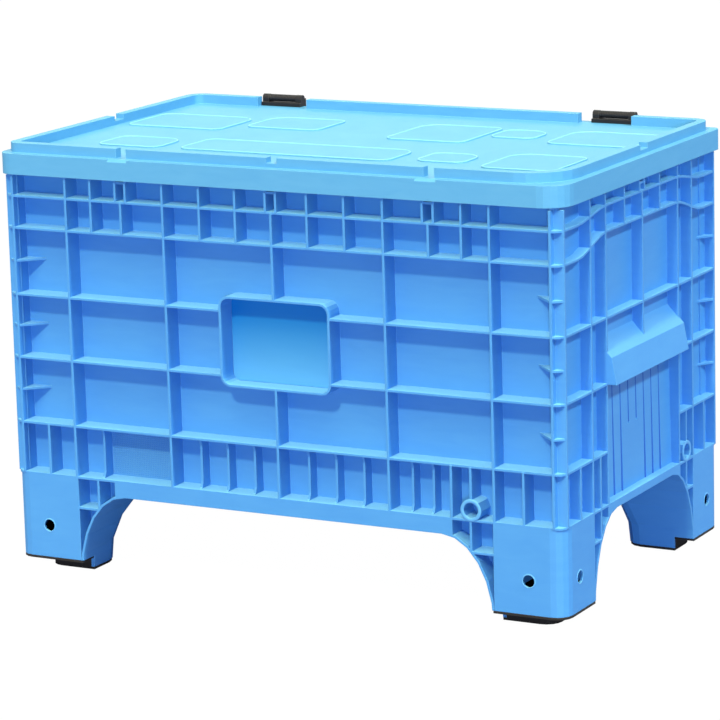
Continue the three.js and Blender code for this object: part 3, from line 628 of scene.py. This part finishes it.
def bead_tree(name, material, gloss_and_painted_light):
    tree = node_tree(name)
    ids = {
        "Radius": tree_input(tree, "Radius", "NodeSocketFloat", 0.0016),
        "Sides": tree_input(tree, "Sides", "NodeSocketInt", 8),
    }
    start = tree.nodes.new("NodeGroupInput")
    curve = tree.nodes.new("GeometryNodeMeshToCurve")
    profile = tree.nodes.new("GeometryNodeCurvePrimitiveCircle")
    sweep = tree.nodes.new("GeometryNodeCurveToMesh")
    tree.links.new(start.outputs["Geometry"], curve.inputs[0])
    tree.links.new(start.outputs["Radius"], profile.inputs["Radius"])
    tree.links.new(start.outputs["Sides"], profile.inputs["Resolution"])
    tree.links.new(curve.outputs[0], sweep.inputs["Curve"])
    tree.links.new(profile.outputs[0], sweep.inputs["Profile Curve"])
    finish_tree(tree, sweep.outputs[0], material, True, gloss_and_painted_light)
    return tree, ids


# %% [markdown]
# The lid's low pads have a soft rolled edge, swept as a bead that carries a painted highlight
# and a smoother gloss.
# Their places are shares of the lid's half width and half depth,
# and the last number says which rear corner is cut wider.
# The hinges stick out behind, so the box itself stands a little in front of the middle.

# %% Beads round the lid pads
BOX_SHIFT = -0.0096
LID_HALF_X = 0.5259
LID_HALF_Y = 0.3248
PAD_TOP = 0.7270
PAD_CORNER = 0.018
PAD_CUT = 0.034
PAD_MARGIN = 0.0010
PAD_SINK = 0.0003
# Strength of the painted highlight on the pad beads.
PAD_HIGHLIGHT = 0.75
PAD_BEAD = 0.0014
PAD_BEAD_SIDES = 10
PADS = (
    (-0.913, -0.551, 0.043, 0.477, 1),
    (-0.504, -0.230, 0.188, 0.554, -1),
    (0.059, 0.344, 0.062, 0.585, -1),
    (0.367, 0.527, 0.292, 0.545, 1),
    (0.597, 0.901, 0.188, 0.616, -1),
    (-0.780, -0.548, -0.600, -0.302, 1),
    (-0.475, 0.285, -0.591, -0.246, 1),
    (0.359, 0.527, -0.533, -0.271, 1),
    (0.607, 0.863, -0.622, -0.169, -1),
)

pad_outlines = []
for left, right, front, rear, cut in PADS:
    pad_outlines.append(rounded_outline(
        left * LID_HALF_X + PAD_MARGIN,
        right * LID_HALF_X - PAD_MARGIN,
        front * LID_HALF_Y + BOX_SHIFT + PAD_MARGIN,
        rear * LID_HALF_Y + BOX_SHIFT - PAD_MARGIN,
        [PAD_CORNER, PAD_CORNER,
         PAD_CUT if cut > 0 else PAD_CORNER, PAD_CUT if cut < 0 else PAD_CORNER]))
bead_nodes, bead_ids = bead_tree("swept_bead", lid_blue, PAD_HIGHLIGHT)
pad_mesh = outline_mesh("pad_outlines", pad_outlines, PAD_TOP - PAD_SINK)
grow("pad_beads", pad_mesh, bead_nodes, {
    bead_ids["Radius"]: PAD_BEAD,
    bead_ids["Sides"]: PAD_BEAD_SIDES,
}, "lid")

# %% [markdown]
# The end panels have seven narrow flutes. A slim bead of painted shade lies in the bottom of
# each groove, where so little light arrives that a dark line shows. Two of them stop half way
# down.

# %% Painted shade in the flutes
FLUTE_TOP = 0.3705
FLUTE_LOW = 0.1625
FLUTE_SHORT = 0.2835
SHORT_FLUTES = (2, 3)
FLUTE_FIRST = -0.0900
FLUTE_PITCH = 0.0317
FLUTE_COUNT = 7
FLUTE_SINK = 0.0014
FLUTE_BEAD = 0.0022
FLUTE_BEAD_SIDES = 8
PAINTED_SHADE = -1.0
PANEL_TOP_X = 0.5010
PANEL_TOP_Z = 0.3732
PANEL_LEAN = 0.004
PANEL_RISE = 0.2132


def flute_mesh():
    points = []
    edges = []
    for side in (-1, 1):
        for index in range(FLUTE_COUNT):
            y = side * (FLUTE_FIRST + index * FLUTE_PITCH) + BOX_SHIFT
            low = FLUTE_SHORT if index in SHORT_FLUTES else FLUTE_LOW
            for z in (FLUTE_TOP, low):
                out = PANEL_TOP_X + PANEL_LEAN * (PANEL_TOP_Z - z) / PANEL_RISE - FLUTE_SINK
                points.append((side * out, y, z))
            edges.append((len(points) - 2, len(points) - 1))
    mesh = bpy.data.meshes.new("flute_painted_shade")
    mesh.from_pydata(points, edges, [])
    return mesh


# Painted shade: the bead takes the darkest end of the attribute.
flute_nodes, flute_ids = bead_tree("flute_shade_bead", body_blue, PAINTED_SHADE)
grow("flute_painted_shade", flute_mesh(), flute_nodes, {
    flute_ids["Radius"]: FLUTE_BEAD,
    flute_ids["Sides"]: FLUTE_BEAD_SIDES,
}, "box")

# %% [markdown]
# The bar between the two ears of each hinge clip is ribbed, so that fingers hold it.
# Thin rings are set along a line, and that line on one point for each hinge.

# %% Ribbed hinge bars
HINGE_X = 0.330
BAR_Y = 0.3092
BAR_Z = 0.7390
RING_COUNT = 17
RING_PITCH = 0.0031
RING_RADIUS = 0.0065
RING_DEPTH = 0.0014
RING_SIDES = 20
QUARTER = math.radians(90.0)


def ring_tree(material):
    tree = node_tree("ribbed_bar")
    ids = {
        "Rings": tree_input(tree, "Rings", "NodeSocketInt", RING_COUNT),
        "Pitch": tree_input(tree, "Pitch", "NodeSocketFloat", RING_PITCH),
        "Radius": tree_input(tree, "Radius", "NodeSocketFloat", RING_RADIUS),
    }
    start = tree.nodes.new("NodeGroupInput")
    ring = tree.nodes.new("GeometryNodeMeshCylinder")
    ring.inputs["Vertices"].default_value = RING_SIDES
    ring.inputs["Depth"].default_value = RING_DEPTH
    turn = tree.nodes.new("GeometryNodeTransform")
    turn.inputs["Rotation"].default_value = (0.0, QUARTER, 0.0)
    step = tree.nodes.new("ShaderNodeCombineXYZ")
    row = tree.nodes.new("GeometryNodeMeshLine")
    placed = tree.nodes.new("GeometryNodeInstanceOnPoints")
    seats = tree.nodes.new("GeometryNodeInstanceOnPoints")
    tree.links.new(start.outputs["Radius"], ring.inputs["Radius"])
    tree.links.new(ring.outputs["Mesh"], turn.inputs[0])
    tree.links.new(start.outputs["Pitch"], step.inputs[0])
    tree.links.new(start.outputs["Rings"], row.inputs["Count"])
    tree.links.new(step.outputs[0], row.inputs["Offset"])
    tree.links.new(row.outputs[0], placed.inputs["Points"])
    tree.links.new(turn.outputs[0], placed.inputs["Instance"])
    tree.links.new(start.outputs["Geometry"], seats.inputs["Points"])
    tree.links.new(placed.outputs[0], seats.inputs["Instance"])
    finish_tree(tree, seats.outputs[0], material, False)
    return tree, ids


bar_seats = bpy.data.meshes.new("bar_seats")
bar_reach = (RING_COUNT - 1) * RING_PITCH / 2
bar_seats.from_pydata([(side * HINGE_X - bar_reach, BAR_Y, BAR_Z) for side in (-1, 1)], [], [])
bar_nodes, bar_ids = ring_tree(hinge_black)
grow("ribbed_bars", bar_seats, bar_nodes, {
    bar_ids["Rings"]: RING_COUNT,
    bar_ids["Pitch"]: RING_PITCH,
    bar_ids["Radius"]: RING_RADIUS,
}, "lid")

# %% [markdown]
# The leg holes and the ring bosses are turned in the mould, so their rims are truly round.
# A small profile is swept round a circle and set on every hole.
# Each seat is a point that carries its own turn as an attribute.

# %% Helper: round rims
RIM_STEPS = 40
RIM_PROFILE_STEPS = 10
END_FACE = 0.520
SIDE_FACE = 0.320
FACES_SIDE = (QUARTER, 0.0, 0.0)
FACES_END = (0.0, QUARTER, 0.0)


def rim_mesh(name, seats):
    mesh = bpy.data.meshes.new(name)
    mesh.from_pydata([place for place, turn in seats], [], [])
    turns = mesh.attributes.new("turn", "FLOAT_VECTOR", "POINT")
    for index, (place, turn) in enumerate(seats):
        turns.data[index].vector = turn
    return mesh


def rim_tree(material, name, gloss_and_painted_light):
    tree = node_tree(name)
    ids = {
        "Radius": tree_input(tree, "Radius", "NodeSocketFloat", 0.011),
        "Thickness": tree_input(tree, "Thickness", "NodeSocketFloat", 0.001),
        "Flatness": tree_input(tree, "Flatness", "NodeSocketFloat", 1.0),
    }
    start = tree.nodes.new("NodeGroupInput")
    path = tree.nodes.new("GeometryNodeCurvePrimitiveCircle")
    path.inputs["Resolution"].default_value = RIM_STEPS
    profile = tree.nodes.new("GeometryNodeCurvePrimitiveCircle")
    profile.inputs["Resolution"].default_value = RIM_PROFILE_STEPS
    sweep = tree.nodes.new("GeometryNodeCurveToMesh")
    scale = tree.nodes.new("ShaderNodeCombineXYZ")
    scale.inputs[0].default_value = 1.0
    scale.inputs[1].default_value = 1.0
    flat = tree.nodes.new("GeometryNodeTransform")
    turn = tree.nodes.new("GeometryNodeInputNamedAttribute")
    turn.data_type = "FLOAT_VECTOR"
    turn.inputs["Name"].default_value = "turn"
    placed = tree.nodes.new("GeometryNodeInstanceOnPoints")
    tree.links.new(start.outputs["Radius"], path.inputs["Radius"])
    tree.links.new(start.outputs["Thickness"], profile.inputs["Radius"])
    tree.links.new(path.outputs[0], sweep.inputs["Curve"])
    tree.links.new(profile.outputs[0], sweep.inputs["Profile Curve"])
    tree.links.new(start.outputs["Flatness"], scale.inputs[2])
    tree.links.new(sweep.outputs[0], flat.inputs[0])
    tree.links.new(scale.outputs[0], flat.inputs["Scale"])
    tree.links.new(start.outputs["Geometry"], placed.inputs["Points"])
    tree.links.new(flat.outputs[0], placed.inputs["Instance"])
    tree.links.new(turn.outputs[0], placed.inputs["Rotation"])
    finish_tree(tree, placed.outputs[0], material, True, gloss_and_painted_light)
    return tree, ids


# %% [markdown]
# Each leg has one hole to the front or rear and one to the end.
# Their rims are thin and half flat and carry a painted highlight, so that only a light line
# shows.

# %% Rims of the leg holes
HOLE_X = 0.455
HOLE_Y = 0.264
HOLE_Z = 0.081
# Strength of the painted highlight on the hole rims.
HOLE_HIGHLIGHT = 0.4

hole_seats = []
for hand in (-1, 1):
    for turn in (-1, 1):
        hole_seats.append(((hand * HOLE_X, turn * SIDE_FACE + BOX_SHIFT, HOLE_Z), FACES_SIDE))
        hole_seats.append(((hand * END_FACE, turn * HOLE_Y + BOX_SHIFT, HOLE_Z), FACES_END))
hole_nodes, hole_ids = rim_tree(body_blue, "hole_rim", HOLE_HIGHLIGHT)
grow("hole_rims", rim_mesh("hole_seats", hole_seats), hole_nodes, {
    hole_ids["Radius"]: 0.0112,
    hole_ids["Thickness"]: 0.0012,
    hole_ids["Flatness"]: 0.5,
}, "box")

# %% [markdown]
# Each side of the box has one ring boss, and its wider, flatter rim covers the ring's wall and
# carries a weaker painted highlight.

# %% Rims of the ring bosses
BOSS_X = 0.354
BOSS_Y = 0.177
BOSS_Z = 0.188
# Strength of the painted highlight on the boss rims.
BOSS_HIGHLIGHT = 0.3

boss_seats = [
    ((BOSS_X, -SIDE_FACE + BOX_SHIFT, BOSS_Z), FACES_SIDE),
    ((-BOSS_X, SIDE_FACE + BOX_SHIFT, BOSS_Z), FACES_SIDE),
    ((END_FACE, BOSS_Y + BOX_SHIFT, BOSS_Z), FACES_END),
    ((-END_FACE, -BOSS_Y + BOX_SHIFT, BOSS_Z), FACES_END),
]
boss_nodes, boss_ids = rim_tree(body_blue, "boss_rim", BOSS_HIGHLIGHT)
grow("boss_rims", rim_mesh("boss_seats", boss_seats), boss_nodes, {
    boss_ids["Radius"]: 0.0156,
    boss_ids["Thickness"]: 0.0032,
    boss_ids["Flatness"]: 0.35,
}, "box")

# %% [markdown]
# The label plate lies bare inside its frame. Its colour is a deeper, greener blue at the top
# and fades to the blue of the box towards the bottom, so it follows the height; at the top this
# is partly painted shade under the frame.

# %% Label plate
LABEL_HALF = 0.0995
LABEL_LOW = 0.3595
LABEL_HIGH = 0.5035
LABEL_CORNER = 0.0135
LABEL_CORNER_STEPS = 6
LABEL_PROUD = 0.0006
LABEL_BEHIND = 0.0004
FADE_FROM = LABEL_LOW + 0.01
FADE_TO = LABEL_HIGH - 0.025


def label_plastic():
    material = plastic(
        "label_blue", srgb(84, 162, 222), srgb(112, 196, 242), srgb(64, 146, 214), 0.42)
    tree = material.node_tree
    shader = tree.nodes["Principled BSDF"]
    toned = shader.inputs["Base Color"].links[0].from_socket
    place = tree.nodes.new("ShaderNodeTexCoord")
    parts = tree.nodes.new("ShaderNodeSeparateXYZ")
    tree.links.new(place.outputs["Object"], parts.inputs[0])
    # Deeper colour towards the top, partly painted shade under the frame.
    top_tint_and_shade = scaled(tree, parts.outputs["Z"], 0.0, 1.0, FADE_FROM, FADE_TO)
    tree.links.new(mix_colour(tree, toned, srgb(2, 122, 200), top_tint_and_shade), shader.inputs["Base Color"])
    return material


plate_outline = rounded_outline(
    -LABEL_HALF, LABEL_HALF, LABEL_LOW, LABEL_HIGH, [LABEL_CORNER] * 4, LABEL_CORNER_STEPS)
plate_count = len(plate_outline)
plate_points = [(x, FRONT_WALL - LABEL_PROUD, z) for x, z in plate_outline]
plate_points += [(x, FRONT_WALL + LABEL_BEHIND, z) for x, z in plate_outline]
plate_faces = [tuple(range(plate_count)), tuple(reversed(range(plate_count, 2 * plate_count)))]
for index in range(plate_count):
    after = (index + 1) % plate_count
    plate_faces.append((index, index + plate_count, after + plate_count, after))
plate_mesh = bpy.data.meshes.new("label_plate")
plate_mesh.from_pydata(plate_points, [], plate_faces)
plate_mesh.materials.append(label_plastic())
plate = bpy.data.objects.new("label_plate", plate_mesh)
bpy.context.collection.objects.link(plate)
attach(plate, "box")
print("label_plate", len(plate_mesh.polygons), "faces")
